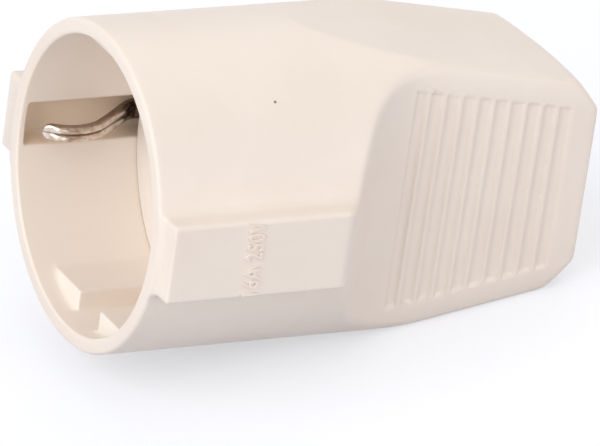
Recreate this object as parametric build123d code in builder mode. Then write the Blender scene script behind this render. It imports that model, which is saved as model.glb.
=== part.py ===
from build123d import *
import os
from math import cos, radians, sin, tan

# In-line power socket for a two-pole plug with side earth clips.
# X runs from the mouth plane (X = 0) along the plug's axis to the cord end, Y runs across the two
# earth clips and Z up through the two pin holes. Lengths are millimetres.

# Barrel and plug well
barrel_radius = 21.7
wall = 2.1
well_depth = 17.5
rim_break = 0.4

# Channel boxes on the barrel's sides, one for each earth clip
box_rise = 3.3
box_half_width = 5.3
box_start = 0.6
box_tail = 2.1
box_foot_round = 1.2
box_edge_round = 0.5
channel_half_width = 3.0
channel_start = 1.1
channel_wall = 1.8

# Guide ribs above and below in the well, and the ledges behind them round the insert
rib_rise = 3.0
rib_start = 3.2
rib_groove_half_width = 3.0
ledge_length = 4.0

# Grip: sloping facets above and below, scooped faces on the sides, a crowned and chamfered end
facet_start = 26.7
facet_angle = 10.0
grip_half_width = 12.0
scoop_angle = 53.0
scoop_radius = 13.0
end_crown = 0.9
end_chamfer = 3.4
grip_corner_round = 2.0
grip_end_round = 1.2

# Finger grooves on the side faces
groove_count = 10
groove_pitch = 2.45
groove_width = 1.65
groove_depth = 0.45
groove_margin = 3.9
groove_end_margin = 6.0

# Cord entry in the end face
cord_radius = 4.5
cord_entry_clearance = 0.3

# Insert that holds the contacts
plate_thickness = 2.5
block_side_gap = 0.6
block_wall = 1.0
block_edge_round = 1.5
back_thickness = 2.5
seat_clearance = 0.15
slide_clearance = 0.2

# Pin contacts
pin_spacing = 19.0
pin_radius = 2.4
pin_length = 19.0
pin_hole_clearance = 0.5
pin_hole_break = 0.5
sleeve_wall = 0.7
sleeve_gap = 0.2
sleeve_slit = 0.7
sleeve_slit_length = 12.0
sleeve_floor_gap = 0.7
sleeve_floor_thickness = 0.6
collar_radius = 4.1
collar_length = 3.0
shank_radius = 2.0
shank_reach = 3.5
spring_thickness = 0.5
spring_width = 1.4
spring_place = 3.4
spring_gap_angle = 25.0
fit_clearance = 0.05

# Wire terminals
terminal_length = 8.0
terminal_size = 7.0
terminal_edge = 0.5
wire_hole_radius = 1.7
wire_hole_depth = 4.0
terminal_screw_radius = 1.4
terminal_screw_grip = 0.7
earth_terminal_inner = 3.0
earth_screw_gap = 0.6
earth_terminal_width = 6.4
earth_wire_place = 3.2

# Slotted screw heads
small_head_radius = 2.2
small_head_height = 1.3
head_slot_width = 0.6
head_slot_depth = 0.6

# Earth strip: a sprung clip at each end and a bridge behind the front plate
strip_thickness = 0.9
strip_width = 2.8
bridge_width = 6.6
clip_gap = 1.0
clip_tip_place = 1.9
clip_tip_drop = 4.0
clip_bulge_place = 5.3
clip_bulge_drop = 6.7
clip_foot_place = 16.0
clip_bulge_radius = 3.4
clip_foot_radius = 3.0
clip_tip_radius = 1.1
strip_corner_radius = 1.6
bridge_gap = 2.8
bridge_half_length = 9.0
bead_height = 0.25
bead_width = 0.5
bead_spacing = 1.4
bead_start = 3.4
bead_end = 15.0
strip_screw_place = 5.5
strip_screw_radius = 1.4
strip_screw_bite = 3.6

# Centre screw, and the cross post in the casing that it bites into
centre_screw_radius = 1.75
centre_head_radius = 3.1
centre_head_height = 1.9
screw_hole_clearance = 0.25
head_recess_clearance = 0.3
head_recess_depth = 2.2
centre_screw_bite = 4.3
post_half_height = 4.3
post_length = 5.0
post_gap = 2.7

# Screws that hold the two halves of the insert together
back_screw_edge_gap = 0.1
back_screw_up = 12.5
back_screw_radius = 1.1
back_screw_bite = 5.0

# Cord clamp on the insert's two arms
arm_gap = 0.6
arm_outer = 10.2
arm_thickness = 2.4
clamp_post_gap = 1.0
clamp_length = 6.0
clamp_end_gap = 3.8
clamp_bar_thickness = 2.2
clamp_saddle_drop = 1.5
clamp_gap = 0.3
clamp_ridge_width = 1.2
clamp_post_radius = 2.3
clamp_screw_up = 7.6
clamp_screw_radius = 1.3
clamp_screw_bite = 4.4

# Places that follow from the sizes above
past = 5.0
slope = tan(radians(facet_angle))
well_radius = barrel_radius - wall
rib_height = well_radius - rib_rise
box_reach = barrel_radius + box_rise
plate_back = well_depth + plate_thickness
bridge_place = plate_back + bridge_gap
bridge_back = bridge_place + strip_thickness
box_end = bridge_back + box_tail
clip_foot_height = box_reach - channel_wall - clip_gap - strip_thickness
sleeve_start = plate_back + sleeve_gap
sleeve_floor = well_depth + pin_length + sleeve_floor_gap
block_half_height = pin_spacing / 2 + collar_radius + slide_clearance + block_wall
ledge_height = block_half_height + slide_clearance
block_half_width = grip_half_width - wall - block_side_gap
block_end = sleeve_floor + sleeve_floor_thickness
back_end = block_end + back_thickness
terminal_end = back_end + terminal_length
pin_places = {"line": pin_spacing / 2, "neutral": -pin_spacing / 2}
earth_terminal_outer = grip_half_width - wall - earth_screw_gap - small_head_height
earth_terminal_depth = earth_terminal_outer - earth_terminal_inner
earth_terminal_centre = earth_terminal_inner + earth_terminal_depth / 2
post_start = terminal_end + post_gap
arm_inner = post_half_height + arm_gap
clamp_start = post_start + post_length + clamp_post_gap
clamp_stop = clamp_start + clamp_length
casing_length = clamp_stop + clamp_end_gap + wall
back_screw_across = block_half_width - small_head_radius - back_screw_edge_gap
back_screw_places = ((back_screw_across, back_screw_up), (-back_screw_across, -back_screw_up))


def facet_height(x):
    """Height of the sloping facet above the axis."""
    return barrel_radius - (x - facet_start) * slope


def moulded_form(inset, outside):
    """Barrel, narrowed to the grip by the facets and the scoops, with each face drawn in by inset."""
    foot_x = box_end + (box_reach - grip_half_width) / tan(radians(scoop_angle))
    lift_x = past * cos(radians(scoop_angle))
    lift_y = past * sin(radians(scoop_angle))
    corner = Plane(
        origin=(facet_start, grip_half_width, barrel_radius),
        x_dir=(0, 1, 0),
        z_dir=(cos(radians(facet_angle)), 0, -sin(radians(facet_angle))),
    )
    with BuildPart() as corner_waste:
        with BuildSketch(corner):
            with Locations((-grip_corner_round / 2, (past - grip_corner_round) / 2)):
                Rectangle(grip_corner_round, grip_corner_round + past)
            with Locations((-grip_corner_round, -grip_corner_round)):
                Circle(grip_corner_round, mode=Mode.SUBTRACT)
        extrude(amount=casing_length)
        mirror(about=Plane.XZ)
        mirror(about=Plane.XY)
    with BuildPart() as form:
        with BuildSketch(Plane.YZ.offset(-inset)):
            Circle(barrel_radius - inset)
        extrude(amount=casing_length + inset)
        if outside:
            with BuildSketch(Plane.YZ.offset(box_start)) as section:
                Circle(barrel_radius)
                Rectangle(2 * box_reach, 2 * box_half_width)
                fillet(section.vertices().sort_by(lambda v: abs(v.X))[:4], box_foot_round)
                fillet(section.vertices().sort_by(lambda v: abs(v.X))[-4:], box_edge_round)
            extrude(amount=casing_length - box_start)
        with BuildSketch(Plane.XZ):
            with BuildLine():
                Polyline(
                    (-past, 0),
                    (-past, barrel_radius + past * slope),
                    (facet_start - past, barrel_radius + past * slope),
                    (casing_length, facet_height(casing_length)),
                    (casing_length, 0),
                    close=True,
                )
            make_face()
            mirror(about=Plane.XZ)
            if inset:
                offset(amount=-inset, kind=Kind.INTERSECTION)
        extrude(amount=box_reach + past, both=True, mode=Mode.INTERSECT)
        with BuildSketch(Plane.XY):
            with BuildLine():
                FilletPolyline(
                    (-past, 0),
                    (-past, box_reach + lift_y),
                    (box_end - lift_x, box_reach + lift_y),
                    (foot_x, grip_half_width),
                    (casing_length - end_crown, grip_half_width),
                    radius=(0, 0, scoop_radius),
                )
                ThreePointArc(
                    (casing_length - end_crown, grip_half_width),
                    (casing_length, 0),
                    (casing_length - end_crown, -grip_half_width),
                )
                FilletPolyline(
                    (casing_length - end_crown, -grip_half_width),
                    (foot_x, -grip_half_width),
                    (box_end - lift_x, -box_reach - lift_y),
                    (-past, -box_reach - lift_y),
                    (-past, 0),
                    radius=(scoop_radius, 0, 0),
                )
            make_face()
            if inset:
                offset(amount=-inset, kind=Kind.INTERSECTION)
        extrude(amount=box_reach + past, both=True, mode=Mode.INTERSECT)
        end_edges = form.faces().sort_by(Axis.X)[-1].edges()
        chamfer(end_edges.filter_by(lambda e: abs(e.center().Z) > wall), end_chamfer)
        if outside:
            add(corner_waste.part, mode=Mode.SUBTRACT)
    return form.part


def slotted_screw(seat, shank, length, head_radius, head_height):
    """Cheese-head screw: its head stands on the seat plane and its shank goes down from it."""
    with BuildPart() as fastener:
        with BuildSketch(seat):
            Circle(head_radius)
        extrude(amount=head_height)
        with BuildSketch(seat):
            Circle(shank)
        extrude(amount=-length)
        with BuildSketch(seat.offset(head_height)):
            Rectangle(3 * head_radius, head_slot_width)
        extrude(amount=-head_slot_depth, mode=Mode.SUBTRACT)
    return fastener.part


def facing_side(x, y, z):
    """Plane square to Y, whose normal is +Y."""
    return Plane(origin=(x, y, z), x_dir=(1, 0, 0), z_dir=(0, 1, 0))


# Casing: one moulded shell, open at the mouth
outer_form = moulded_form(0, True)
inner_form = moulded_form(wall, False)
channel_end = box_end + channel_wall / tan(radians(scoop_angle)) - wall / sin(radians(scoop_angle))
with BuildPart() as casing:
    add(outer_form)
    chamfer(casing.faces().sort_by(Axis.X)[0].edges(), rim_break)
    fillet(casing.faces().sort_by(Axis.X)[-1].edges(), grip_end_round)
    add(inner_form, mode=Mode.SUBTRACT)
    # guide ribs, each split by a groove, and the ledges behind them
    with BuildSketch(Plane.YZ.offset(rib_start)):
        Circle(barrel_radius - wall / 2)
        Rectangle(2 * barrel_radius, 2 * rib_height, mode=Mode.SUBTRACT)
        Rectangle(2 * rib_groove_half_width, 2 * barrel_radius, mode=Mode.SUBTRACT)
    extrude(amount=plate_back - rib_start)
    with BuildSketch(Plane.YZ.offset(plate_back)):
        Circle(barrel_radius - wall / 2)
        Rectangle(2 * barrel_radius, 2 * ledge_height, mode=Mode.SUBTRACT)
    extrude(amount=ledge_length)
    # channels for the earth clips, open to the well
    with BuildSketch(Plane.YZ.offset(channel_start)):
        Rectangle(2 * (box_reach - channel_wall), 2 * channel_half_width)
    extrude(amount=channel_end - channel_start, mode=Mode.SUBTRACT)
    # cross post for the centre screw
    with BuildSketch(Plane.YZ.offset(post_start)):
        Rectangle(2 * grip_half_width - wall, 2 * post_half_height)
    extrude(amount=post_length)
    with BuildSketch(Plane.YZ.offset(post_start)):
        Circle(centre_screw_radius + fit_clearance)
    extrude(amount=centre_screw_bite + fit_clearance, mode=Mode.SUBTRACT)
    # cord entry
    with BuildSketch(Plane.YZ.offset(casing_length - 2 * wall)):
        Circle(cord_radius + cord_entry_clearance)
    extrude(amount=3 * wall, mode=Mode.SUBTRACT)
    # finger grooves, which shorten with the facets
    for side in (1, -1):
        with BuildSketch(Plane.XZ.offset(side * (grip_half_width - groove_depth))):
            for number in range(groove_count):
                x = casing_length - groove_end_margin - number * groove_pitch
                with Locations((x, 0)):
                    Rectangle(groove_width, 2 * (facet_height(x) - groove_margin))
        extrude(amount=side * wall, mode=Mode.SUBTRACT)
casing.part.label = "casing"

# Insert, front half: the floor of the well, with a block behind it that houses the contacts
with BuildPart() as contact_carrier:
    with BuildSketch(Plane.YZ.offset(well_depth)):
        Rectangle(2 * well_radius, 2 * (rib_height - seat_clearance))
        Rectangle(2 * (rib_groove_half_width - seat_clearance), 2 * well_radius)
        Circle(well_radius - seat_clearance, mode=Mode.INTERSECT)
    extrude(amount=plate_thickness)
    with BuildSketch(Plane.YZ.offset(plate_back)):
        RectangleRounded(2 * block_half_width, 2 * block_half_height, block_edge_round)
    extrude(amount=block_end - plate_back)
    for place in pin_places.values():
        with BuildSketch(Plane.YZ.offset(well_depth)):
            with Locations((0, place)):
                Circle(pin_radius + pin_hole_clearance)
        extrude(amount=plate_thickness, mode=Mode.SUBTRACT)
        with BuildSketch(Plane.YZ.offset(plate_back)):
            with Locations((0, place)):
                Circle(collar_radius + slide_clearance)
        extrude(amount=block_end - plate_back, mode=Mode.SUBTRACT)
    with BuildSketch(Plane.YZ.offset(bridge_place)):
        Rectangle(2 * well_radius, bridge_width + 2 * seat_clearance)
    extrude(amount=block_end - bridge_place, mode=Mode.SUBTRACT)
    with BuildSketch(Plane.YZ.offset(well_depth)):
        Circle(centre_head_radius + head_recess_clearance)
    extrude(amount=head_recess_depth, mode=Mode.SUBTRACT)
    with BuildSketch(Plane.YZ.offset(well_depth)):
        Circle(centre_screw_radius + screw_hole_clearance)
    extrude(amount=bridge_place - well_depth, mode=Mode.SUBTRACT)
    with BuildSketch(Plane.YZ.offset(bridge_place)):
        with Locations((strip_screw_place, 0)):
            Circle(small_head_radius + head_recess_clearance)
    extrude(amount=-(small_head_height + slide_clearance), mode=Mode.SUBTRACT)
    with BuildSketch(Plane.YZ.offset(block_end)):
        with Locations(*back_screw_places):
            Circle(back_screw_radius + fit_clearance)
    extrude(amount=-(back_screw_bite + fit_clearance), mode=Mode.SUBTRACT)
    pin_rims = contact_carrier.faces().sort_by(Axis.X)[0].edges().filter_by(
        lambda e: abs(e.radius - pin_radius - pin_hole_clearance) < fit_clearance
        if e.geom_type == GeomType.CIRCLE else False
    )
    chamfer(pin_rims, pin_hole_break)
contact_carrier.part.label = "contact_carrier"

# Insert, rear half: closes the block, presses the earth strip and carries the cord clamp
tongue_width = block_half_width - centre_screw_radius - 2 * screw_hole_clearance
with BuildPart() as carrier_back:
    with BuildSketch(Plane.YZ.offset(block_end)):
        RectangleRounded(2 * block_half_width, 2 * block_half_height, block_edge_round)
    extrude(amount=back_thickness)
    with BuildSketch(Plane.YZ.offset(bridge_back)):
        with Locations((tongue_width / 2 - block_half_width, 0)):
            Rectangle(tongue_width, bridge_width)
    extrude(amount=block_end - bridge_back)
    with BuildSketch(Plane.XZ.offset(block_half_width)):
        for side in (1, -1):
            with Locations(((back_end + clamp_stop) / 2, side * (arm_inner + arm_outer) / 2)):
                Rectangle(clamp_stop - back_end, arm_outer - arm_inner)
        with Locations(((clamp_start + clamp_stop) / 2, 0)):
            Rectangle(clamp_length, 2 * arm_outer)
    extrude(amount=-arm_thickness)
    with BuildSketch(facing_side((clamp_start + clamp_stop) / 2, arm_thickness - block_half_width, 0)):
        with Locations((0, clamp_screw_up), (0, -clamp_screw_up)):
            Circle(clamp_post_radius)
    extrude(amount=block_half_width - arm_thickness + cord_radius - clamp_gap)
    for x in (clamp_start, clamp_stop - clamp_ridge_width):
        with BuildSketch(Plane.YZ.offset(x)):
            with Locations((-block_half_width / 2, 0)):
                Rectangle(block_half_width - arm_thickness, 2 * arm_inner)
            Circle(cord_radius, mode=Mode.SUBTRACT)
            with Locations((block_half_width / 2, 0)):
                Rectangle(block_half_width + cord_radius, 2 * arm_outer, mode=Mode.SUBTRACT)
        extrude(amount=clamp_ridge_width)
    with BuildSketch(facing_side((clamp_start + clamp_stop) / 2, cord_radius - clamp_gap, 0)):
        with Locations((0, clamp_screw_up), (0, -clamp_screw_up)):
            Circle(clamp_screw_radius + fit_clearance)
    extrude(amount=-(clamp_screw_bite + fit_clearance), mode=Mode.SUBTRACT)
    with BuildSketch(Plane.YZ.offset(block_end)):
        Circle(centre_screw_radius + screw_hole_clearance)
        with Locations(*((0, place) for place in pin_places.values())):
            Circle(shank_radius + fit_clearance)
        with Locations(*back_screw_places):
            Circle(back_screw_radius + screw_hole_clearance)
        with Locations((earth_terminal_centre, 0)):
            Rectangle(earth_terminal_depth + 2 * slide_clearance, earth_terminal_width + 2 * slide_clearance)
    extrude(amount=back_thickness, mode=Mode.SUBTRACT)
carrier_back.part.label = "carrier_back"

# Pin contacts: slit sleeves with a collar trapped in the insert and a shank into the terminal
contacts = {}
springs = {}
terminals = {}
terminal_screws = {}
for name, place in pin_places.items():
    pin_plane = Plane(origin=(0, 0, place), x_dir=(1, 0, 0), z_dir=(0, -1, 0))
    pin_axis = Axis((0, 0, place), (1, 0, 0))
    collar_end = block_end - fit_clearance
    shank_end = back_end + shank_reach
    with BuildPart() as contact:
        with BuildSketch(pin_plane):
            with BuildLine():
                Polyline(
                    (sleeve_start, pin_radius),
                    (sleeve_start, pin_radius + sleeve_wall),
                    (collar_end - collar_length, pin_radius + sleeve_wall),
                    (collar_end - collar_length, collar_radius),
                    (collar_end, collar_radius),
                    (collar_end, shank_radius),
                    (shank_end, shank_radius),
                    (shank_end, 0),
                    (sleeve_floor, 0),
                    (sleeve_floor, pin_radius),
                    close=True,
                )
            make_face()
        revolve(axis=pin_axis)
        with BuildSketch(Plane.YZ.offset(sleeve_start)):
            with Locations((0, place)):
                Rectangle(3 * collar_radius, sleeve_slit, rotation=45)
                Rectangle(3 * collar_radius, sleeve_slit, rotation=-45)
        extrude(amount=sleeve_slit_length, mode=Mode.SUBTRACT)
    contact.part.label = name + "_contact"
    contacts[name] = contact.part

    with BuildPart() as spring:
        with BuildSketch(pin_plane):
            ring_radius = pin_radius + sleeve_wall + fit_clearance + spring_thickness / 2
            with Locations((sleeve_start + spring_place, ring_radius)):
                Rectangle(spring_width, spring_thickness)
        revolve(axis=pin_axis, revolution_arc=360 - spring_gap_angle)
    spring.part.label = name + "_spring"
    springs[name] = spring.part

    with BuildPart() as terminal:
        with BuildSketch(Plane.YZ.offset(back_end)):
            with Locations((0, place)):
                Rectangle(terminal_size, terminal_size)
        extrude(amount=terminal_length)
        chamfer(terminal.edges(), terminal_edge)
        with BuildSketch(Plane.YZ.offset(back_end)):
            with Locations((0, place)):
                Circle(shank_radius + fit_clearance)
        extrude(amount=shank_reach + fit_clearance, mode=Mode.SUBTRACT)
        with BuildSketch(Plane.YZ.offset(terminal_end)):
            with Locations((0, place)):
                Circle(wire_hole_radius)
        extrude(amount=-wire_hole_depth, mode=Mode.SUBTRACT)
        screw_seat = facing_side(terminal_end - wire_hole_depth / 2, terminal_size / 2, place)
        with BuildSketch(screw_seat):
            Circle(terminal_screw_radius + fit_clearance)
        extrude(amount=-terminal_size / 2, mode=Mode.SUBTRACT)
    terminal.part.label = name + "_terminal"
    terminals[name] = terminal.part
    screw_length = terminal_size / 2 - wire_hole_radius + terminal_screw_grip
    terminal_screw = slotted_screw(
        screw_seat, terminal_screw_radius, screw_length, small_head_radius, small_head_height
    )
    terminal_screw.label = name + "_terminal_screw"
    terminal_screws[name] = terminal_screw

# Earth strip: bent from one blank, the same at both ends
clip_points = (
    (clip_tip_place, clip_foot_height - clip_tip_drop),
    (clip_bulge_place, clip_foot_height - clip_bulge_drop),
    (clip_foot_place, clip_foot_height),
    (bridge_place, clip_foot_height),
    (bridge_place, 0),
)
clip_radii = (clip_bulge_radius, clip_foot_radius, strip_corner_radius)
with BuildPart() as earth_bow:
    with BuildSketch(Plane.XY.offset(-strip_width / 2)):
        with BuildLine():
            FilletPolyline(*clip_points, radius=clip_radii)
            offset(amount=strip_thickness, side=Side.LEFT)
        make_face()
    extrude(amount=strip_width)
    tip_edges = earth_bow.faces().sort_by(Axis.X)[0].edges().group_by(Axis.Z)
    fillet(tip_edges[0] + tip_edges[-1], clip_tip_radius)
    for height in (-bead_spacing / 2, bead_spacing / 2):
        with BuildSketch(Plane.XY.offset(height - bead_width / 2)):
            with BuildLine():
                FilletPolyline(*clip_points[:4], radius=clip_radii[:2])
                offset(amount=bead_height, side=Side.RIGHT)
            make_face()
            with Locations(((bead_start + bead_end) / 2, clip_foot_height)):
                Rectangle(bead_end - bead_start, 2 * clip_foot_height, mode=Mode.INTERSECT)
        extrude(amount=bead_width)
    mirror(about=Plane.XZ)
    with BuildSketch(Plane.YZ.offset(bridge_place)):
        Rectangle(2 * bridge_half_length, bridge_width)
    extrude(amount=strip_thickness)
    with BuildSketch(Plane.YZ.offset(bridge_place)):
        Circle(centre_screw_radius + screw_hole_clearance)
        with Locations((strip_screw_place, 0)):
            Circle(strip_screw_radius + screw_hole_clearance)
    extrude(amount=strip_thickness, mode=Mode.SUBTRACT)
earth_bow.part.label = "earth_bow"

# Earth terminal: a long block screwed to the strip's bridge
with BuildPart() as earth_terminal:
    with BuildSketch(Plane.YZ.offset(bridge_back)):
        with Locations((earth_terminal_centre, 0)):
            Rectangle(earth_terminal_depth, earth_terminal_width)
    extrude(amount=terminal_end - bridge_back)
    chamfer(earth_terminal.edges(), terminal_edge)
    with BuildSketch(Plane.YZ.offset(bridge_back)):
        with Locations((strip_screw_place, 0)):
            Circle(strip_screw_radius + fit_clearance)
    extrude(amount=strip_screw_bite + fit_clearance, mode=Mode.SUBTRACT)
    with BuildSketch(Plane.XY):
        with Locations((terminal_end - earth_wire_place, earth_terminal_centre)):
            Circle(wire_hole_radius)
    extrude(amount=earth_terminal_width, both=True, mode=Mode.SUBTRACT)
    earth_screw_seat = facing_side(terminal_end - earth_wire_place, earth_terminal_outer, 0)
    with BuildSketch(earth_screw_seat):
        Circle(terminal_screw_radius + fit_clearance)
    extrude(amount=-earth_terminal_depth / 2, mode=Mode.SUBTRACT)
earth_terminal.part.label = "earth_terminal"

earth_terminal_screw = slotted_screw(
    earth_screw_seat,
    terminal_screw_radius,
    earth_terminal_depth / 2 - wire_hole_radius + terminal_screw_grip,
    small_head_radius,
    small_head_height,
)
earth_terminal_screw.label = "earth_terminal_screw"

# Screws of the insert
mouth_facing = (-1, 0, 0)
earth_bow_screw = slotted_screw(
    Plane(origin=(bridge_place, strip_screw_place, 0), x_dir=(0, 0, 1), z_dir=mouth_facing),
    strip_screw_radius,
    strip_thickness + strip_screw_bite,
    small_head_radius,
    small_head_height,
)
earth_bow_screw.label = "earth_bow_screw"

head_seat = well_depth + head_recess_depth
carrier_screw = slotted_screw(
    Plane(origin=(head_seat, 0, 0), x_dir=(0, 0, 1), z_dir=mouth_facing),
    centre_screw_radius,
    post_start + centre_screw_bite - head_seat,
    centre_head_radius,
    centre_head_height,
)
carrier_screw.label = "carrier_screw"

back_screws = {}
for name, (across, up) in zip(("upper", "lower"), back_screw_places):
    back_screw = slotted_screw(
        Plane(origin=(back_end, across, up), x_dir=(0, 0, 1), z_dir=(1, 0, 0)),
        back_screw_radius,
        back_thickness + back_screw_bite,
        small_head_radius,
        small_head_height,
    )
    back_screw.label = name + "_insert_screw"
    back_screws[name] = back_screw

# Cord clamp: a bar with a saddle over the cord's place, held by two screws
clamp_middle = (clamp_start + clamp_stop) / 2
bar_seat = cord_radius
bar_top = bar_seat + clamp_bar_thickness
with BuildPart() as cord_clamp:
    with BuildSketch(Plane.YZ.offset(clamp_start)):
        with Locations((bar_seat + clamp_bar_thickness / 2, 0)):
            RectangleRounded(clamp_bar_thickness, 2 * arm_outer, clamp_bar_thickness / 3)
        with Locations((bar_seat, 0)):
            Rectangle(2 * clamp_saddle_drop, 2 * arm_inner)
        Circle(cord_radius, mode=Mode.SUBTRACT)
    extrude(amount=clamp_length)
    with BuildSketch(facing_side(clamp_middle, bar_top, 0)):
        with Locations((0, clamp_screw_up), (0, -clamp_screw_up)):
            Circle(clamp_screw_radius + screw_hole_clearance)
    extrude(amount=-clamp_bar_thickness, mode=Mode.SUBTRACT)
cord_clamp.part.label = "cord_clamp"

clamp_screws = {}
for name, up in (("upper", clamp_screw_up), ("lower", -clamp_screw_up)):
    clamp_screw = slotted_screw(
        facing_side(clamp_middle, bar_top, up),
        clamp_screw_radius,
        clamp_bar_thickness + clamp_gap + clamp_screw_bite,
        small_head_radius,
        small_head_height,
    )
    clamp_screw.label = name + "_clamp_screw"
    clamp_screws[name] = clamp_screw

# One file for each piece
os.makedirs("parts", exist_ok=True)
export_step(casing.part, "parts/casing.step")
export_step(contact_carrier.part, "parts/contact_carrier.step")
export_step(carrier_back.part, "parts/carrier_back.step")
export_step(earth_bow.part, "parts/earth_bow.step")
export_step(earth_bow_screw, "parts/earth_bow_screw.step")
export_step(earth_terminal.part, "parts/earth_terminal.step")
export_step(earth_terminal_screw, "parts/earth_terminal_screw.step")
export_step(carrier_screw, "parts/carrier_screw.step")
export_step(cord_clamp.part, "parts/cord_clamp.step")
for name in pin_places:
    export_step(contacts[name], f"parts/{name}_contact.step")
    export_step(springs[name], f"parts/{name}_spring.step")
    export_step(terminals[name], f"parts/{name}_terminal.step")
    export_step(terminal_screws[name], f"parts/{name}_terminal_screw.step")
for name in ("upper", "lower"):
    export_step(back_screws[name], f"parts/{name}_insert_screw.step")
    export_step(clamp_screws[name], f"parts/{name}_clamp_screw.step")
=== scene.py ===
import bpy
import numpy as np
from mathutils import Matrix, Vector


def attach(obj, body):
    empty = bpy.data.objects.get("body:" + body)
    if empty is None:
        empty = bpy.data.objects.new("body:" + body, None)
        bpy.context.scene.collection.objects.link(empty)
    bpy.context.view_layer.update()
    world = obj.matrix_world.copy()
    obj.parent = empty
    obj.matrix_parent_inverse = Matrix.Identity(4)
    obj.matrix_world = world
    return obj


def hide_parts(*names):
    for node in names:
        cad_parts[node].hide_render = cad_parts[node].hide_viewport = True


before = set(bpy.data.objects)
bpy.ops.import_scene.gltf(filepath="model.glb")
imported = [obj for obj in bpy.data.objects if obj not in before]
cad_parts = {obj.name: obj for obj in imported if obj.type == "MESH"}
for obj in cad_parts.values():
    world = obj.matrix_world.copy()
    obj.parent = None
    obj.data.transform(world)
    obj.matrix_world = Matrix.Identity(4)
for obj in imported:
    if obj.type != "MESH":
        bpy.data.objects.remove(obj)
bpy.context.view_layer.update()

MM = 0.001

# Sizes of the moulding in millimetres. They are those of the solid, but for the grooves, which are
# shallower here.
BARREL_RADIUS = 21.7
WALL = 2.1
WELL_RADIUS = BARREL_RADIUS - WALL
BOX_REACH = 25.0
BOX_HALF_WIDTH = 5.3
BOX_START = 0.6
BOX_END = 25.8
FACET_START = 26.7
FACET_ANGLE = 10.0
GRIP_HALF_WIDTH = 12.0
SCOOP_ANGLE = 53.0
LENGTH = 68.9
CROWN = 0.9
END_CHAMFER = 3.4
GROOVES = 10
GROOVE_PITCH = 2.45
GROOVE_WIDTH = 1.65
GROOVE_DEPTH = 0.36
GROOVE_MARGIN = 3.9
GROOVE_END = 6.0
RIB_HEIGHT = 16.6
RIB_START = 3.2
RIB_SPLIT = 3.0
LEDGE_HEIGHT = 15.0
LEDGE_END = 24.0
PLATE_BACK = 20.0
CHANNEL_HALF = 3.0
CHANNEL_START = 1.1
CHANNEL_REACH = 23.2
CHANNEL_END = 24.5
CORD_HOLE = 4.8
POST_START = 51.0
POST_LENGTH = 5.0
POST_HALF_HEIGHT = 4.3
POST_INSET = 1.0
POST_CORNER = 0.4
POST_ROWS = 12

# How far the moulding's creases are rounded, and how far its side faces fall away towards the facets
RIM_ROUND = 0.6
MOUTH_ROUND = 0.45
BOX_CORNER = 0.45
BOX_FRONT_ROUND = 0.5
BOX_FOOT_ROUND = 1.3
FACET_ROUND = 2.4
FACET_LEAST_ROUND = 0.02
SCOOP_ROUND = 5.6
SIDE_ROUND = 0.65
CHAMFER_ROUND = 0.5
END_ROUND = 0.8
INNER_ROUND = 0.3
LEDGE_ROUND = 0.2
RIB_ROUND = 0.35
RIB_FOOT_ROUND = 0.25
SHARP = 0.1
SIDE_FALL = 0.7
SIDE_FALL_LIMIT = 1.2
GROOVE_LIP = 0.12
GROOVE_SLOPE = 0.16
GROOVE_TIP = 0.2

# The earth strip, which leaves a gap to its channel's wall. Each bend from the clip's tip to the bridge is
# given by its place along the axis and how far it lies towards the axis from the strip's foot.
STRIP_BENDS = ((2.1, 4.3), (6.8, 7.8), (17.2, 0.0), (22.8, 0.0))
BEND_RADII = (6.5, 2.8, 1.6)
STRIP_STEP = 0.35
ARC_CROWDING = 1.5
STRIP_GAP = 1.0
STRIP_THICKNESS = 0.9
STRIP_CORNER = 0.3

# Its half widths, with the places along the axis between which the clip widens to the foot, and the reaches
# from the axis between which the foot widens to the bridge
CLIP_HALF_WIDTH = 1.1
FOOT_HALF_WIDTH = 1.4
BRIDGE_HALF_WIDTH = 3.3
CLIP_WIDENS = (12.0, 17.0)
BRIDGE_WIDENS = (8.7, 9.3)

# Its tips: the length over which the width and the thickness round off, and how far before the point that
# ends
TIP_LENGTH, TIP_BLUNT = 1.3, 0.08
TIP_EDGE_LENGTH, TIP_EDGE_BLUNT = 0.4, 0.1

# Its two ridges, with the way from the tip over which they rise, and the places over which they fade
RIDGE_HEIGHT = 0.45
RIDGE_PLACE = 0.56
RIDGE_HALF_WIDTH = 0.52
RIDGE_RISES = (1.0, 2.4)
RIDGE_FADES = (15.0, 18.0)

# Points of a bar's outline: on each corner's arc, and on its wide and narrow sides
ARC_POINTS = 6
WIDE_SIDE_POINTS = 26
NARROW_SIDE_POINTS = 6

# The raised rating on the near channel box
MARK_TEXT = "16A 250V"
MARK_HEIGHT = 0.25
MARK_SIZE = 3.2
MARK_SPACING = 1.1
MARK_SWELL = 0.02
MARK_FLANK = 0.06
MARK_EDGE = 0.07
MARK_PLACE = 12.35
MARK_SQUEEZE = 0.76

# Places along the axis for the casing's grid: where each stretch starts, and the spacing of the rows in it
OUTER_STRETCHES = (
    (0.0, 0.04), (0.12, 0.08), (0.6, 0.05), (0.7, 0.06), (1.3, 1.6), (24.0, 0.35), (39.9, 1.0),
)
INNER_STRETCHES = (
    (0.002, 0.04), (0.5, 0.15), (1.1, 0.08), (1.5, 0.85), (3.2, 0.07), (3.6, 1.6), (19.8, 0.1), (20.2, 0.6),
    (23.8, 0.1), (24.7, 1.0), (62.0, 1.0),
)
OUTER_HUB, INNER_HUB = 64.3, 62.0

# Rays that look for the skin: how far out they start and how far they look, and how often a stretch is halved
RAY_START = 0.5
OUTER_LIMIT = 30.0
INNER_LIMIT = 24.5
END_LIMIT = 40.0
HALVINGS = 34

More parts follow.
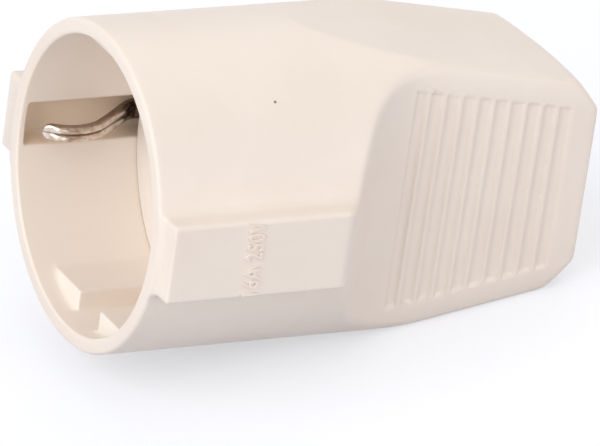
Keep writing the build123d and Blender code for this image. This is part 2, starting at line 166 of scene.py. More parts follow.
# Rows over the outer end: shares of the way along the side to the end, then of the way in over the face,
# close near the corner and even after it. The last row keeps a margin from the cord hole.
END_LEAD = (0.18, 0.32, 0.44, 0.54, 0.63, 0.71, 0.78, 0.84, 0.89, 0.93, 0.96, 0.985)
END_CORNER = (0.0, 0.015, 0.035, 0.06, 0.09, 0.13, 0.18, 0.24)
END_FACE_ROWS = 13
HOLE_MARGIN = 0.5

# The cord hole's lip and wall, as radii with their depths below the end face
CORD_HOLE_ROWS = ((5.02, 0.02), (4.9, 0.08), (4.83, 0.16), (4.8, 0.3), (4.8, 1.2), (4.8, 2.0), (4.9, 2.1))

# A quarter turn of the casing's grid: the number of steps in each sector, the barrel's sector bounds in
# degrees, the stretch along the axis over which they turn into the grip's, where the grip's begin to follow
# its height, and half the sector across a groove's tip
SECTOR_STEPS = (4, 9, 1, 7, 9, 26, 8, 4)
BARREL_SECTORS = (6.6, 9.6, 10.65, 13.85, 19.4, 78.8, 82.0)
SECTOR_CHANGE = (30.0, 39.0)
GRIP_GRID_START = 38.0
TIP_SECTOR = 0.25


def rad(degrees):
    """An angle in degrees as radians."""
    return np.radians(degrees)


# Numpy shapes


def larger(a, b, reach):
    """The larger of two distances. Where they differ by less than reach, the square of what is left of
    it, over four times reach, is added, which rounds the crease between the two surfaces."""
    near = np.maximum(reach - np.abs(a - b), 0.0)
    return np.maximum(a, b) + near * near / (4.0 * np.maximum(reach, 1e-9))


def smaller(a, b, reach):
    """The smaller of two distances, rounded in the same way: minus the larger of their negatives."""
    return -larger(-a, -b, reach)


def step(value, low, high):
    """Smooth ramp from 0 at low to 1 at high: three times the square of the share, less twice its cube."""
    t = np.clip((value - low) / (high - low), 0.0, 1.0)
    return t * t * (3.0 - 2.0 * t)


def rounded_bar(y, z, half_y, half_z, radius):
    """Distance to a rectangle across the axis, with rounded corners: the distance to the rectangle drawn
    in by the radius, less the radius."""
    a, b = np.abs(y) - half_y + radius, np.abs(z) - half_z + radius
    return np.hypot(np.maximum(a, 0), np.maximum(b, 0)) + np.minimum(np.maximum(a, b), 0) - radius


def facet_height(x):
    """Height of the sloping facet above the axis: the barrel's radius, less the way past the facet's
    start times the tangent of its angle."""
    return BARREL_RADIUS - (x - FACET_START) * np.tan(rad(FACET_ANGLE))


def grip_faces(x, y, z, inset):
    """Distances to the grip's facet, scooped side, crowned end and end chamfer, each drawn in by inset.
    The side is the smaller of a plane and a flare, and falls with the square of its nearness to the
    facet. The end bends by the square of the way from its middle. The chamfer's plane halves the angle
    between facet and end."""
    facet = (np.abs(z) - facet_height(x)) * np.cos(rad(FACET_ANGLE)) + inset
    beside = np.abs(y) - GRIP_HALF_WIDTH
    foot = BOX_END + (BOX_REACH - GRIP_HALF_WIDTH) / np.tan(rad(SCOOP_ANGLE))
    flare = (x - foot) * np.sin(rad(SCOOP_ANGLE)) + beside * np.cos(rad(SCOOP_ANGLE))
    side = smaller(flare, beside, SCOOP_ROUND) + inset
    nearness = 1 - (facet_height(x) - np.abs(z)) / GROOVE_MARGIN
    side = side + SIDE_FALL * np.clip(nearness, 0, SIDE_FALL_LIMIT) ** 2
    end = x - LENGTH + CROWN * (y / GRIP_HALF_WIDTH) ** 2
    lean = rad(45 - FACET_ANGLE / 2)
    bevel = end * np.cos(lean) + (np.abs(z) - facet_height(LENGTH) + END_CHAMFER) * np.sin(lean)
    return facet, side, end + inset, bevel + inset


def groove_places():
    """Middles of the finger grooves along the axis, one pitch apart, from the end backwards."""
    return LENGTH - GROOVE_END - GROOVE_PITCH * np.arange(GROOVES)


def groove_dip(x, z):
    """Depth of the finger grooves at a place on the side face: full depth within about half a width of a
    groove's middle and up to its two tips, as the product of two smooth ramps."""
    off = np.min(np.abs(x[..., None] - groove_places()), axis=-1)
    across = 1 - step(off, GROOVE_WIDTH / 2 - GROOVE_SLOPE, GROOVE_WIDTH / 2 + GROOVE_LIP)
    along = 1 - step(np.abs(z) - facet_height(x) + GROOVE_MARGIN, -GROOVE_TIP, GROOVE_TIP)
    return GROOVE_DEPTH * across * along


def outside(x, y, z):
    """Signed distance to the casing's outer skin: barrel and channel boxes together, cut by the grip's
    faces. The near box's face is lower by the height of its raised marks. The facet's crease is sharp
    along the barrel's top and gets rounder as the facet turns away from the barrel."""
    radius = np.hypot(y, z)
    barrel = larger(radius - BARREL_RADIUS, -x, RIM_ROUND)
    reach = BOX_REACH - np.where(y < 0, MARK_HEIGHT, 0.0)
    box = larger(rounded_bar(y, z, reach, BOX_HALF_WIDTH, BOX_CORNER), BOX_START - x, BOX_FRONT_ROUND)
    skin = smaller(barrel, box, BOX_FOOT_ROUND)
    facet, side, end, bevel = grip_faces(x, y, z, 0.0)
    upright = np.abs(z) / np.maximum(radius, 1e-6)
    skin = larger(skin, facet, FACET_ROUND * (1 - upright * np.cos(rad(FACET_ANGLE))) + FACET_LEAST_ROUND)
    skin = larger(skin, side + groove_dip(x, z), SIDE_ROUND)
    return larger(skin, larger(end, bevel, CHAMFER_ROUND), END_ROUND)


def inside(x, y, z):
    """Signed distance to the casing's hollow: the well without its guide ribs and ledges, narrowed to the
    grip's faces drawn in by the wall, together with the clip channels and all that lies before the
    mouth."""
    radius = np.hypot(y, z)
    rib = larger(RIB_HEIGHT - np.abs(z), RIB_SPLIT - np.abs(y), RIB_ROUND)
    rib = larger(rib, larger(RIB_START - x, x - PLATE_BACK, SHARP), RIB_ROUND)
    ledge = larger(LEDGE_HEIGHT - np.abs(z), larger(PLATE_BACK - x, x - LEDGE_END, SHARP), LEDGE_ROUND)
    hollow = larger(larger(radius - WELL_RADIUS, -rib, RIB_FOOT_ROUND), -ledge, LEDGE_ROUND)
    channel = rounded_bar(y, z, CHANNEL_REACH, CHANNEL_HALF, INNER_ROUND)
    channel = larger(larger(channel, CHANNEL_START - x, INNER_ROUND), x - CHANNEL_END, LEDGE_ROUND)
    facet, side, end, bevel = grip_faces(x, y, z, WALL)
    grip = larger(facet, larger(side, larger(end, bevel, LEDGE_ROUND), INNER_ROUND), INNER_ROUND)
    hollow = smaller(larger(hollow, grip, INNER_ROUND), channel, INNER_ROUND)
    return smaller(hollow, x, MOUTH_ROUND)


def quarter(knots, counts):
    """Angles of one quarter turn, spread evenly between the knots (one row of knots for each row)."""
    parts = [
        knots[:, [i]] + (knots[:, [i + 1]] - knots[:, [i]]) * np.linspace(0, 1, n, endpoint=False)[None, :]
        for i, n in enumerate(counts)
    ]
    return np.concatenate(parts + [knots[:, [-1]]], axis=1)


def full_turn(first):
    """Mirrors a quarter turn of angles about Z and then about Y to the whole turn."""
    half = np.concatenate([first, np.pi - first[:, -2::-1]], axis=1)
    return np.concatenate([half, 2 * np.pi - half[:, -2:0:-1]], axis=1)


def along_rays(gap, start, way, near, far):
    """The point on each ray where gap turns positive, found by halving the interval between near and
    far."""
    low, high = np.full(start.shape[:-1], float(near)), np.full(start.shape[:-1], float(far))
    for _ in range(HALVINGS):
        middle = (low + high) / 2
        at = start + way * middle[..., None]
        out = gap(at[..., 0], at[..., 1], at[..., 2]) > 0
        low, high = np.where(out, low, middle), np.where(out, middle, high)
    return start + way * ((low + high) / 2)[..., None]


def skin_rows(gap, places, angles, far):
    """Rows of the surface where gap is zero, one round the axis at each place along it. The rays leave
    the axis at right angles, with the cosine and sine of each angle as their Y and Z."""
    start = np.zeros(angles.shape + (3,))
    start[..., 0] = places[:, None]
    way = np.stack([np.zeros_like(angles), np.cos(angles), np.sin(angles)], axis=-1)
    return along_rays(gap, start, way, RAY_START, far)


def end_rows(gap, hub, rim, turns, depth, shares):
    """Rows over an end face. Each row has two shares: the rays leave a hub on the axis for points that
    lie the second share of depth beyond it, and the first share of the way from the cord hole to the
    rim."""
    angles = turns[None, :]
    radius = np.hypot(rim[:, 1], rim[:, 2])[None, :]
    out, along = shares[:, :1], shares[:, 1:]
    least = CORD_HOLE + HOLE_MARGIN
    reach = least + (radius - least) * out
    way = np.stack([along * depth + 0 * angles, reach * np.cos(angles), reach * np.sin(angles)], axis=-1)
    way = way / np.linalg.norm(way, axis=-1, keepdims=True)
    start = np.zeros_like(way)
    start[..., 0] = hub
    return along_rays(gap, start, way, RAY_START, END_LIMIT)


def spaced(stretches):
    """Places from stretches, each with its start and spacing: it is divided in equal steps of about that
    spacing."""
    places = [np.array([stretches[0][0]])]
    for (a, size), (b, _) in zip(stretches, stretches[1:]):
        n = max(1, int(round((b - a) / size)))
        places.append(a + (b - a) * np.arange(1, n + 1) / n)
    return np.concatenate(places)


def grid_turns(x):
    """Angles of the grid lines at each place along the axis. On the barrel they keep to the channel's
    walls, the box's edge and foot and the split in the ribs, and on the grip to the groove tips and the
    corner. Between the two they pass over by a smooth ramp."""
    height = facet_height(np.maximum(x, GRIP_GRID_START))
    inner = np.arctan2(height - GROOVE_MARGIN - TIP_SECTOR, GRIP_HALF_WIDTH)
    outer = np.arctan2(height - GROOVE_MARGIN + TIP_SECTOR, GRIP_HALF_WIDTH)
    corner = np.arctan2(height, GRIP_HALF_WIDTH)
    a, b, c, d, _, e, f, g = SECTOR_STEPS
    rest = (np.pi / 2 - corner) / (e + f + g)
    grip = [inner * a / (a + b), inner, inner + (outer - inner) * c / (c + d), outer, corner]
    grip += [corner + rest * e, corner + rest * (e + f)]
    share = step(x, *SECTOR_CHANGE)
    middle = [rad(early) * (1 - share) + late * share for early, late in zip(BARREL_SECTORS, grip)]
    return full_turn(quarter(np.stack([0 * x] + middle + [0 * x + np.pi / 2], axis=1), SECTOR_STEPS))


def put(name, points, faces):
    """Makes a piece from points in millimetres and faces, riding on the one body."""
    mesh = bpy.data.meshes.new(name)
    mesh.from_pydata((np.asarray(points) * MM).tolist(), [], [[int(i) for i in f] for f in faces])
    mesh.validate()
    piece = bpy.data.objects.new(name, mesh)
    bpy.context.scene.collection.objects.link(piece)
    mesh.shade_smooth()
    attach(piece, "root")
    return piece


def grid_faces(rows, columns, wrap_rows, wrap_columns):
    """Quads of a grid, row by row, closed round either way where asked: each joins a point, the next in
    its row, and the two after them in the next row. They face outwards where columns run anticlockwise
    about the rows' way."""
    r = np.arange(rows if wrap_rows else rows - 1)[:, None]
    c = np.arange(columns if wrap_columns else columns - 1)[None, :]
    r2, c2 = (r + 1) % rows, (c + 1) % columns
    quads = np.stack([r * columns + c, r * columns + c2, r2 * columns + c2, r2 * columns + c], axis=-1)
    return quads.reshape(-1, 4)


def casing_shell():
    """The moulded casing as one closed skin. Its grid runs out over the barrel and grip, round the end,
    in through the cord hole, back along the inside to the well and over the mouth's rim to where it
    began."""
    edges = GROOVE_WIDTH / 2 + np.array([GROOVE_LIP, 0.03, -0.06, -GROOVE_SLOPE])
    middles = groove_places()[:, None]
    grooves = np.sort(np.concatenate([middles - edges, middles + edges], axis=None))
    x = np.concatenate([spaced(OUTER_STRETCHES), grooves, [OUTER_HUB]])
    outer_angles = grid_turns(x)
    outer = skin_rows(outside, x, outer_angles, OUTER_LIMIT)
    turns = outer_angles[-1]
    # the outer end
    over = np.linspace(END_CORNER[-1], 1, END_FACE_ROWS + 1)[1:]
    shares = [(1.0, t) for t in END_LEAD] + [(1 - t, 1.0) for t in np.concatenate([END_CORNER, over])]
    end = end_rows(outside, OUTER_HUB, outer[-1], turns, LENGTH - OUTER_HUB, np.array(shares))
    # the cord hole
    radius, back = np.array(CORD_HOLE_ROWS).T[:, :, None]
    y, z = radius * np.cos(turns), radius * np.sin(turns)
    hole = np.stack([LENGTH - CROWN * (y / GRIP_HALF_WIDTH) ** 2 - back, y, z], axis=-1)
    # the inside, from the end wall back to the mouth
    x = spaced(INNER_STRETCHES)[::-1]
    inner_angles = grid_turns(x)
    inner = skin_rows(inside, x, inner_angles, INNER_LIMIT)
    wall = [(t, 1.0) for t in np.linspace(0.05, 0.9, 7)] + [(1.0, t) for t in (0.98, 0.9, 0.7, 0.4)]
    depth = LENGTH - WALL - INNER_HUB
    end_wall = end_rows(inside, INNER_HUB, inner[0], inner_angles[0], depth, np.array(wall))
    rim = np.stack([(inner[-1] * (1 - share) + outer[0] * share) * [0, 1, 1] for share in (0.33, 0.67)])
    rows = np.concatenate([outer, end, hole, end_wall, inner, rim])
    return put("casing_shell", rows.reshape(-1, 3), grid_faces(*rows.shape[:2], True, True))


def bar_outline(half_wide, half_thick, corner, ridge):
    """Outlines of a rounded bar, one for each row: quarter arcs at the corners, joined by evenly divided
    sides. The lower side carries two stiffening ridges, whose height goes with the root of one less the
    square of the way from the ridge's middle."""
    signs = [(1, 1), (-1, 1), (-1, -1), (1, -1)]
    middle_u, middle_v, arc_u, arc_v = [], [], [], []
    for k, (a, b) in enumerate(signs):
        bend = np.pi / 2 * (k + np.linspace(0, 1, ARC_POINTS))
        c, d = signs[(k + 1) % 4]
        cut = np.linspace(0, 1, WIDE_SIDE_POINTS if k % 2 == 0 else NARROW_SIDE_POINTS)[1:-1]
        middle_u += [np.full(ARC_POINTS, a), a + (c - a) * cut]
        middle_v += [np.full(ARC_POINTS, b), b + (d - b) * cut]
        arc_u += [np.cos(bend), np.full(cut.size, np.cos(bend[-1]))]
        arc_v += [np.sin(bend), np.full(cut.size, np.sin(bend[-1]))]
    outline = (middle_u, middle_v, arc_u, arc_v)
    middle_u, middle_v, arc_u, arc_v = (np.concatenate(part)[None, :] for part in outline)
    by_row = (half_wide, half_thick, corner, ridge)
    wide, thick, corner, ridge = (np.asarray(size, float)[:, None] for size in by_row)
    u, v = middle_u * (wide - corner) + arc_u * corner, middle_v * (thick - corner) + arc_v * corner
    off = np.clip(1 - ((np.abs(u) - RIDGE_PLACE) / RIDGE_HALF_WIDTH) ** 2, 0, 1)
    return u, v - np.where(v < 0, ridge * np.sqrt(off), 0)


def swept(name, path, out, wide_way, u, v):
    """A bar along a path: each row is the path's point, plus u along wide_way and v along out, and both
    ends are closed. It faces outwards where wide_way, out and the path's way make a right-handed set."""
    rows = path[:, None, :] + out[:, None, :] * v[..., None] + np.asarray(wide_way, float) * u[..., None]
    n, m = rows.shape[:2]
    faces = [list(f) for f in grid_faces(n, m, False, True)]
    faces += [list(range(m))[::-1], list(range((n - 1) * m, n * m))]
    return put(name, rows.reshape(-1, 3), faces)


def straight(start, stop, size):
    """Points from start up to, but not at, stop, in equal steps of about size."""
    count = max(1, int(np.linalg.norm(stop - start) / size))
    return start + (stop - start) * (np.arange(count) / count)[:, None]


def bent_line(points, radii, size):
    """A polyline whose corners are arcs, as points about size apart. An arc's centre lies on the bisector
    of its corner, its radius over the sine of half the angle away, and it starts and stops the radius
    over the tangent of half the angle from the corner."""
    points, line = np.asarray(points, float), []
    last = points[0]
    for before, corner, after, radius in zip(points, points[1:], points[2:], radii):
        a = (before - corner) / np.linalg.norm(before - corner)
        b = (after - corner) / np.linalg.norm(after - corner)
        half = np.arccos(np.clip(a @ b, -1, 1)) / 2
        centre = corner + (a + b) / np.linalg.norm(a + b) * radius / np.sin(half)
        start, stop = corner + a * radius / np.tan(half), corner + b * radius / np.tan(half)
        line.append(straight(last, start, size))
        sweep = np.pi - 2 * half
        count = max(3, int(radius * sweep / size * ARC_CROWDING))
        from_start, t = (start - centre) / radius, np.linspace(0, sweep, count, endpoint=False)[:, None]
        line.append(centre + radius * (from_start * np.cos(t) - a * np.sin(t)))
        last = stop
    line.append(straight(last, points[-1], size))
    return np.concatenate(line + [points[-1:]])


def earth_strip():
    """The bent earth strip: one bar from clip tip to clip tip, ridged along its clips, round at its tips
    and wider across its bridge behind the insert's plate. Half its path is mirrored about the middle
    plane. A tip's width and thickness go with the root of one less the square of the way from where the
    rounding starts."""
    foot = CHANNEL_REACH - STRIP_GAP - STRIP_THICKNESS
    half = [(place, foot - drop) for place, drop in STRIP_BENDS]
    line = bent_line(half + [(STRIP_BENDS[-1][0], 0.0)], BEND_RADII, STRIP_STEP)
    line = np.concatenate([line, (line * [1, -1])[-2::-1]])
    way = np.gradient(line, axis=0)
    way /= np.linalg.norm(way, axis=1, keepdims=True)
    out = np.stack([-way[:, 1], way[:, 0], 0 * way[:, 0]], axis=1)
    gone = np.concatenate([[0], np.cumsum(np.linalg.norm(np.diff(line, axis=0), axis=1))])
    from_tip = np.minimum(gone, gone[-1] - gone)
    wide = CLIP_HALF_WIDTH + (FOOT_HALF_WIDTH - CLIP_HALF_WIDTH) * step(line[:, 0], *CLIP_WIDENS)
    wide += (BRIDGE_HALF_WIDTH - FOOT_HALF_WIDTH) * (1 - step(np.abs(line[:, 1]), *BRIDGE_WIDENS))
    wide *= np.sqrt(1 - np.clip(1 - (from_tip + TIP_BLUNT) / TIP_LENGTH, 0, 1) ** 2)
    ridge = RIDGE_HEIGHT * step(from_tip, *RIDGE_RISES) * (1 - step(line[:, 0], *RIDGE_FADES))
    thick = np.full(wide.size, STRIP_THICKNESS / 2)
    thick *= np.sqrt(1 - np.clip(1 - (from_tip + TIP_EDGE_BLUNT) / TIP_EDGE_LENGTH, 0, 1) ** 2)
    corner = np.minimum(STRIP_CORNER, 0.9 * np.minimum(wide, thick))
    u, v = bar_outline(wide, thick, corner, ridge)
    path = np.concatenate([line, 0 * line[:, :1]], axis=1) + out * STRIP_THICKNESS / 2
    return swept("earth_strip", path, out, (0, 0, -1), u, v)


def cross_post():
    """The post across the casing that the centre screw bites into: a straight rounded bar between the
    side walls."""
    y = np.linspace(POST_INSET - GRIP_HALF_WIDTH, GRIP_HALF_WIDTH - POST_INSET, POST_ROWS)
    same = np.ones(y.size)
    u, v = bar_outline(POST_HALF_HEIGHT * same, POST_LENGTH / 2 * same, POST_CORNER * same, 0 * same)
    path = np.stack([POST_START + POST_LENGTH / 2 + 0 * y, y, 0 * y], axis=1)
    return swept("cross_post", path, np.tile([1.0, 0, 0], (y.size, 1)), (0, 0, 1), u, v)


def rating_mark():
    """Plain raised rating on the near channel box, read upwards: flat letters given depth and a rounded
    edge. Their width turns to Z, squeezed, their height to minus X and their depth to minus Y, so that
    they end at the reach."""
    curve = bpy.data.curves.new("rating", "FONT")
    curve.body = MARK_TEXT
    curve.align_x, curve.align_y = "CENTER", "CENTER"
    curve.size, curve.space_character, curve.offset = MARK_SIZE * MM, MARK_SPACING, MARK_SWELL * MM
    curve.extrude, curve.bevel_depth, curve.bevel_resolution = MARK_FLANK * MM, MARK_EDGE * MM, 2
    flat = bpy.data.objects.new("rating", curve)
    bpy.context.scene.collection.objects.link(flat)
    bpy.context.view_layer.update()
    mesh = bpy.data.meshes.new_from_object(flat)
    bpy.data.objects.remove(flat)
    middle = MARK_FLANK + MARK_EDGE - BOX_REACH
    along_x, along_y = (0, -1, 0, MARK_PLACE * MM), (0, 0, -1, middle * MM)
    mesh.transform(Matrix((along_x, along_y, (MARK_SQUEEZE, 0, 0, 0), (0, 0, 0, 1))))
    mark = bpy.data.objects.new("rating_mark", mesh)
    bpy.context.scene.collection.objects.link(mark)
    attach(mark, "root")
    return mark


# Shader maths


class Signal:
    """One socket of a material's nodes. Sums, differences and products of signals add Math nodes."""

    def __init__(self, tree, socket=None):
        self.tree, self.socket = tree, socket

    def node(self, kind, settings=(), inputs=(), output=0):
        """Adds a node: its settings first, then the values or links of its input sockets."""
        made = self.tree.nodes.new(kind)
        for key, value in dict(settings).items():
            setattr(made, key, value)
        for key, value in dict(inputs).items():
            if isinstance(value, Signal):
                self.tree.links.new(value.socket, made.inputs[key])
            else:
                made.inputs[key].default_value = value
        return Signal(self.tree, made.outputs[output] if len(made.outputs) else None)

    def maths(self, operation, *values):
        """A Math node with the given values, in their order."""
        return self.node("ShaderNodeMath", {"operation": operation}, dict(enumerate(values)))

    def __add__(self, other):
        return self.maths("ADD", self, other)

    def __radd__(self, other):
        return self.maths("ADD", other, self)

    def __sub__(self, other):
        return self.maths("SUBTRACT", self, other)

    def __rsub__(self, other):
        return self.maths("SUBTRACT", other, self)

    def __mul__(self, other):
        return self.maths("MULTIPLY", self, other)

    def __rmul__(self, other):
        return self.maths("MULTIPLY", other, self)

    def __abs__(self):
        return self.maths("ABSOLUTE", self)

    def ramp(self, low, high):
        """0 at low to 1 at high, smoothly."""
        smooth = {"interpolation_type": "SMOOTHSTEP"}
        return self.node("ShaderNodeMapRange", smooth, {0: self, 1: low, 2: high})

    def rise(self, low, high):
        """The same ramp between two lengths in millimetres."""
        return self.ramp(low * MM, high * MM)

    def tint(self, first, second):
        """A colour between two, by this signal."""
        return self.node("ShaderNodeMix", {"data_type": "RGBA"}, {0: self, 6: first, 7: second}, 2)

    def bump(self, strength, height):
        """A surface normal tilted by this signal as a relief, whose height is in millimetres."""
        relief = {"Strength": strength, "Distance": height * MM, "Height": self}
        return self.node("ShaderNodeBump", {}, relief)


def new_finish(name, metallic=0.0):
    """Starts a material: returns it with its shader node and the signal of the place on the object."""
    material = bpy.data.materials.new(name)
    material.use_nodes = True
    shader = material.node_tree.nodes["Principled BSDF"]
    shader.inputs["Metallic"].default_value = metallic
    shader.inputs["IOR"].default_value = 1.5
    place = Signal(material.node_tree).node("ShaderNodeTexCoord", output=3)
    return material, shader, place


def noise(place, size, detail=2.0):
    """Noise whose blotches are about size millimetres across."""
    scale = 1.0 / (size * MM)
    return place.node("ShaderNodeTexNoise", {}, {"Vector": place, "Scale": scale, "Detail": detail})


def give(shader, socket, signal):
    """Links a signal to one of the shader's sockets."""
    signal.tree.links.new(signal.socket, shader.inputs[socket])


def rgb(r, g, b):
    """A solid colour, with full cover."""
    return (r, g, b, 1.0)


def spot(place, centre, radius, fade):
    """1 within radius of a point, fading out over fade, all in millimetres."""
    middle = tuple(c * MM for c in centre)
    away = place.node("ShaderNodeVectorMath", {"operation": "DISTANCE"}, {0: place, 1: middle}, 1)
    return 1 - away.rise(radius, radius + fade)


def coordinate(place, which):
    """One coordinate of a place, in metres."""
    return place.node("ShaderNodeSeparateXYZ", {}, {0: place}, which)


def ivory_plastic():
    """Glossy moulded thermoplastic: faint flow marks in the colour, a slight orange peel and one dark speck.
    The well and the clip channels have painted light: a brighter, warmer colour standing in for the light
    that goes to and fro between their walls."""
    material, shader, place = new_finish("ivory_plastic")
    flow = noise(place, 14.0, 3.0)
    cloud = flow.ramp(0.3, 0.7).tint(rgb(0.888, 0.788, 0.705), rgb(0.860, 0.752, 0.670))
    colour = (noise(place, 0.9).ramp(0.35, 0.75) * 0.06).tint(cloud, rgb(0.78, 0.67, 0.585))
    x, y, z = (abs(coordinate(place, i)) for i in range(3))
    square = y * y + z * z
    radius = square.maths("SQRT", square)
    # Painted light: the well's inner walls and the clip channels get a brighter, warmer colour in place of
    # the light bouncing between their walls
    well = (1 - radius.rise(WELL_RADIUS + 0.05, WELL_RADIUS + 0.25)) * (1 - x.rise(22.0, 23.5))
    channel = (1 - z.rise(CHANNEL_HALF + 0.05, CHANNEL_HALF + 0.25)) * radius.rise(19.0, 20.0)
    channel = channel * (1 - y.rise(CHANNEL_REACH + 0.1, CHANNEL_REACH + 0.4))
    channel = channel * x.rise(CHANNEL_START - 0.1, CHANNEL_START + 0.2)
    channel = channel * (1 - x.rise(CHANNEL_END + 0.1, CHANNEL_END + 0.5))
    colour = (well * 0.8).tint(colour, rgb(0.955, 0.86, 0.77))
    colour = channel.tint(colour, rgb(0.93, 0.79, 0.65))
    speck = spot(place, (18.3, -14.0, 16.6), 0.14, 0.12)
    give(shader, "Base Color", (speck * 0.85).tint(colour, rgb(0.11, 0.07, 0.05)))
    give(shader, "Roughness", 0.36 + flow * 0.08 + noise(place, 2.2) * 0.05)
    peel = noise(place, 0.55) * 0.5 + noise(place, 3.5) * 0.5
    give(shader, "Normal", peel.bump(0.25, 0.03))
    return material


def insert_plastic():
    """The insert's harder, whiter and duller plastic, with a fine grain."""
    material, shader, place = new_finish("insert_plastic")
    patch = noise(place, 8.0, 3.0)
    give(shader, "Base Color", patch.ramp(0.3, 0.7).tint(rgb(0.86, 0.79, 0.73), rgb(0.82, 0.75, 0.68)))
    give(shader, "Roughness", 0.48 + patch * 0.1)
    give(shader, "Normal", noise(place, 0.25, 3.0).bump(0.3, 0.02))
    return material


def plated(name, light, dark, rough, wear_size, pits=0.0, painted_shade=0.0):
    """Plated or rolled metal: light drawing marks along X, duller patches, a little tarnish, fine pits, and
    painted shade in the groove between the strip's ridges and along its edges."""
    material, shader, place = new_finish(name, metallic=1.0)
    stretched = place.node("ShaderNodeMapping", {}, {"Vector": place, "Scale": (0.08, 1.0, 1.0)})
    lines = noise(stretched, 0.12, 3.0)
    patch = noise(place, wear_size, 3.0)
    colour = patch.ramp(0.35, 0.75).tint(light, dark)
    # Painted shade: the colour darkens to dark brown in the groove between the strip's ridges and along its
    # edges, joined to the pits
    off = abs(coordinate(place, 2)) + (lines - 0.5) * (0.12 * MM)
    groove_shade = (1 - off.rise(0.03, 0.17)) + off.rise(0.92, 1.08)
    pits_and_shade = noise(place, 0.22).ramp(0.60, 0.70) * pits
    pits_and_shade = pits_and_shade.maths("MAXIMUM", pits_and_shade, groove_shade * painted_shade)
    give(shader, "Base Color", pits_and_shade.tint(colour, rgb(0.20, 0.14, 0.10)))
    give(shader, "Roughness", rough + patch * 0.16 + lines * 0.06 + pits_and_shade * 0.2)
    height = lines * 0.6 + patch * 0.4 - pits_and_shade * 0.5
    give(shader, "Normal", height.bump(0.35, 0.02))
    return material


# Glow of the floor near the object, what it gains far from it, and the two distances in metres between which
# it gains that. The world gives the object less light than the white that it shows.
FLOOR_GLOW, FAR_GLOW, GLOW_STRETCH = 0.48, 0.5, (0.25, 0.9)
WORLD_LIGHT = 0.52


def seen_directly(start):
    """1 for rays from the camera and for reflections of a surface, 0 for the light that falls on the
    object."""
    camera, glossy = (start.node("ShaderNodeLightPath", output=which) for which in (0, 3))
    return camera.maths("MAXIMUM", camera, glossy)


def studio_white():
    """Floor: seen as white, but still darkened by the object's shadow. Far from the object it glows more,
    so that it stays white where the lamps don't reach it."""
    material = bpy.data.materials.new("studio_white")
    material.use_nodes = True
    material.node_tree.nodes.clear()
    start = Signal(material.node_tree)
    place = start.node("ShaderNodeTexCoord", output=3)
    away = start.node("ShaderNodeVectorMath", {"operation": "LENGTH"}, {0: place}, 1).ramp(*GLOW_STRETCH)
    strength = seen_directly(start) * (FLOOR_GLOW + away * FAR_GLOW)
    matt = start.node("ShaderNodeBsdfDiffuse", {}, {"Color": rgb(0.545, 0.56, 0.61)})
    glow = start.node("ShaderNodeEmission", {}, {"Color": rgb(1, 1, 1), "Strength": strength})
    both = start.node("ShaderNodeAddShader", {}, {0: matt, 1: glow})
    start.node("ShaderNodeOutputMaterial", {}, {"Surface": both})
    return material


# Pieces
IVORY, INSERT = ivory_plastic(), insert_plastic()
NICKEL = plated("nickel_plate", rgb(0.78, 0.69, 0.62), rgb(0.54, 0.42, 0.33), 0.10, 0.9, 0.7, 0.75)
BRASS = plated("contact_brass", rgb(0.80, 0.62, 0.34), rgb(0.66, 0.47, 0.24), 0.25, 2.0)
STEEL = plated("screw_steel", rgb(0.62, 0.61, 0.59), rgb(0.46, 0.44, 0.42), 0.28, 1.2)
FINISHES = {"casing": IVORY, "contact_carrier": INSERT, "carrier_back": INSERT, "earth_bow": NICKEL}
for name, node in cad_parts.items():
    brass = ("contact" in name or "terminal" in name) and "screw" not in name
    finish = FINISHES.get(name) or (BRASS if brass else STEEL)
    node.data.materials.clear()
    node.data.materials.append(finish)

shell, post, strip, mark = casing_shell(), cross_post(), earth_strip(), rating_mark()
for piece, finish in ((shell, IVORY), (post, IVORY), (strip, NICKEL), (mark, IVORY)):
    piece.data.materials.append(finish)
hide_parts("casing")
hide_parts("earth_bow")

# Studio, in metres: the casing lies on its lower facet, so the floor follows that facet, just below it
TILT = rad(FACET_ANGLE)
FLOOR_HALF, FLOOR_GAP = 3, 0.0001
along = Vector((np.cos(TILT), 0, np.sin(TILT))) * FLOOR_HALF
aside = Vector((0, FLOOR_HALF, 0))
upright = Vector((-np.sin(TILT), 0, np.cos(TILT)))
middle = Vector((FACET_START, 0, -BARREL_RADIUS)) * MM - upright * FLOOR_GAP
corners = [middle - along - aside, middle + along - aside, middle + along + aside, middle - along + aside]
floor_mesh = bpy.data.meshes.new("floor")
floor_mesh.from_pydata(corners, [], [(0, 1, 2, 3)])
floor = bpy.data.objects.new("floor", floor_mesh)
bpy.context.scene.collection.objects.link(floor)
floor.data.materials.append(studio_white())

world = bpy.data.worlds.new("studio")
bpy.context.scene.world = world
world.use_nodes = True
backdrop = world.node_tree.nodes["Background"]
give(backdrop, "Strength", WORLD_LIGHT + seen_directly(Signal(world.node_tree)) * (1 - WORLD_LIGHT))
backdrop.inputs["Color"].default_value = rgb(1, 1, 1)


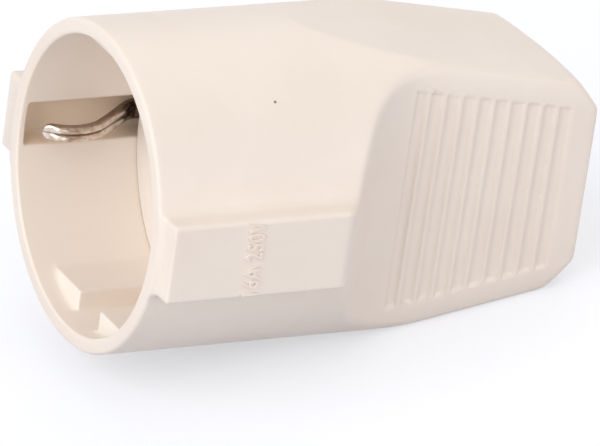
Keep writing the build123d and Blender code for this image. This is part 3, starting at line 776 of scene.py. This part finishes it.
def softbox(name, place, aim, size, watts, colour=(1, 1, 1)):
    """A square lamp at a place, turned towards its aim. Places and size are in metres."""
    lamp = bpy.data.lights.new(name, "AREA")
    lamp.shape, lamp.size, lamp.size_y, lamp.energy, lamp.color = "RECTANGLE", size, size, watts, colour
    holder = bpy.data.objects.new(name, lamp)
    bpy.context.scene.collection.objects.link(holder)
    holder.location = place
    holder.rotation_euler = (Vector(aim) - Vector(place)).to_track_quat("-Z", "Y").to_euler()


MIDDLE, MOUTH = (0.03, 0, 0), (0.0, 0, 0)
WARM = (1.0, 0.965, 0.925)
softbox("key", (-0.25, -0.45, 0.85), MIDDLE, 0.8, 0.7, WARM)
softbox("overhead", (0.35, 0.55, 0.8), MIDDLE, 0.9, 2.05, WARM)
softbox("mouth_side", (-0.9, -0.25, 0.35), MOUTH, 1.05, 7.1)
softbox("cord_side", (0.75, -0.85, 0.3), MIDDLE, 0.7, 2.25)
softbox("front", (0.1, -1.0, 0.12), MIDDLE, 0.7, 1.9)

# Camera at the photograph's place. Distance and target are in millimetres. The target's picture lies OFF_X
# pixels right of the middle and OFF_Y below it.
AZIMUTH, ELEVATION, ROLL = rad(30.5705), rad(23.2097), rad(8.343)
DISTANCE, PIXELS_PER_MM, PICTURE_WIDTH = 881.36, 7.6708, 600
TARGET, OFF_X, OFF_Y = Vector((36.0, 0, 0)), 30.694, -57.347
SENSOR = 36.0
flat = np.cos(ELEVATION)
towards = Vector((-np.sin(AZIMUTH) * flat, -np.cos(AZIMUTH) * flat, np.sin(ELEVATION)))
level = Vector((np.cos(AZIMUTH), -np.sin(AZIMUTH), 0))
upward = level.cross(-towards)
right = level * np.cos(ROLL) + upward * np.sin(ROLL)
up = upward * np.cos(ROLL) - level * np.sin(ROLL)
focal = PIXELS_PER_MM * DISTANCE
axis = (towards * focal + right * OFF_X - up * OFF_Y).normalized()
right = (right - axis * right.dot(axis)).normalized()
up = axis.cross(right)
lens = bpy.data.cameras.new("camera")
lens.sensor_width, lens.lens = SENSOR, focal * SENSOR / PICTURE_WIDTH
lens.clip_start, lens.clip_end = 0.05, 20.0
camera = bpy.data.objects.new("camera", lens)
bpy.context.scene.collection.objects.link(camera)
turned = Matrix((right, up, axis)).transposed().to_4x4()
camera.matrix_world = Matrix.Translation((TARGET + towards * DISTANCE) * MM) @ turned
bpy.context.scene.camera = camera
bpy.context.scene.view_settings.view_transform = "Standard"
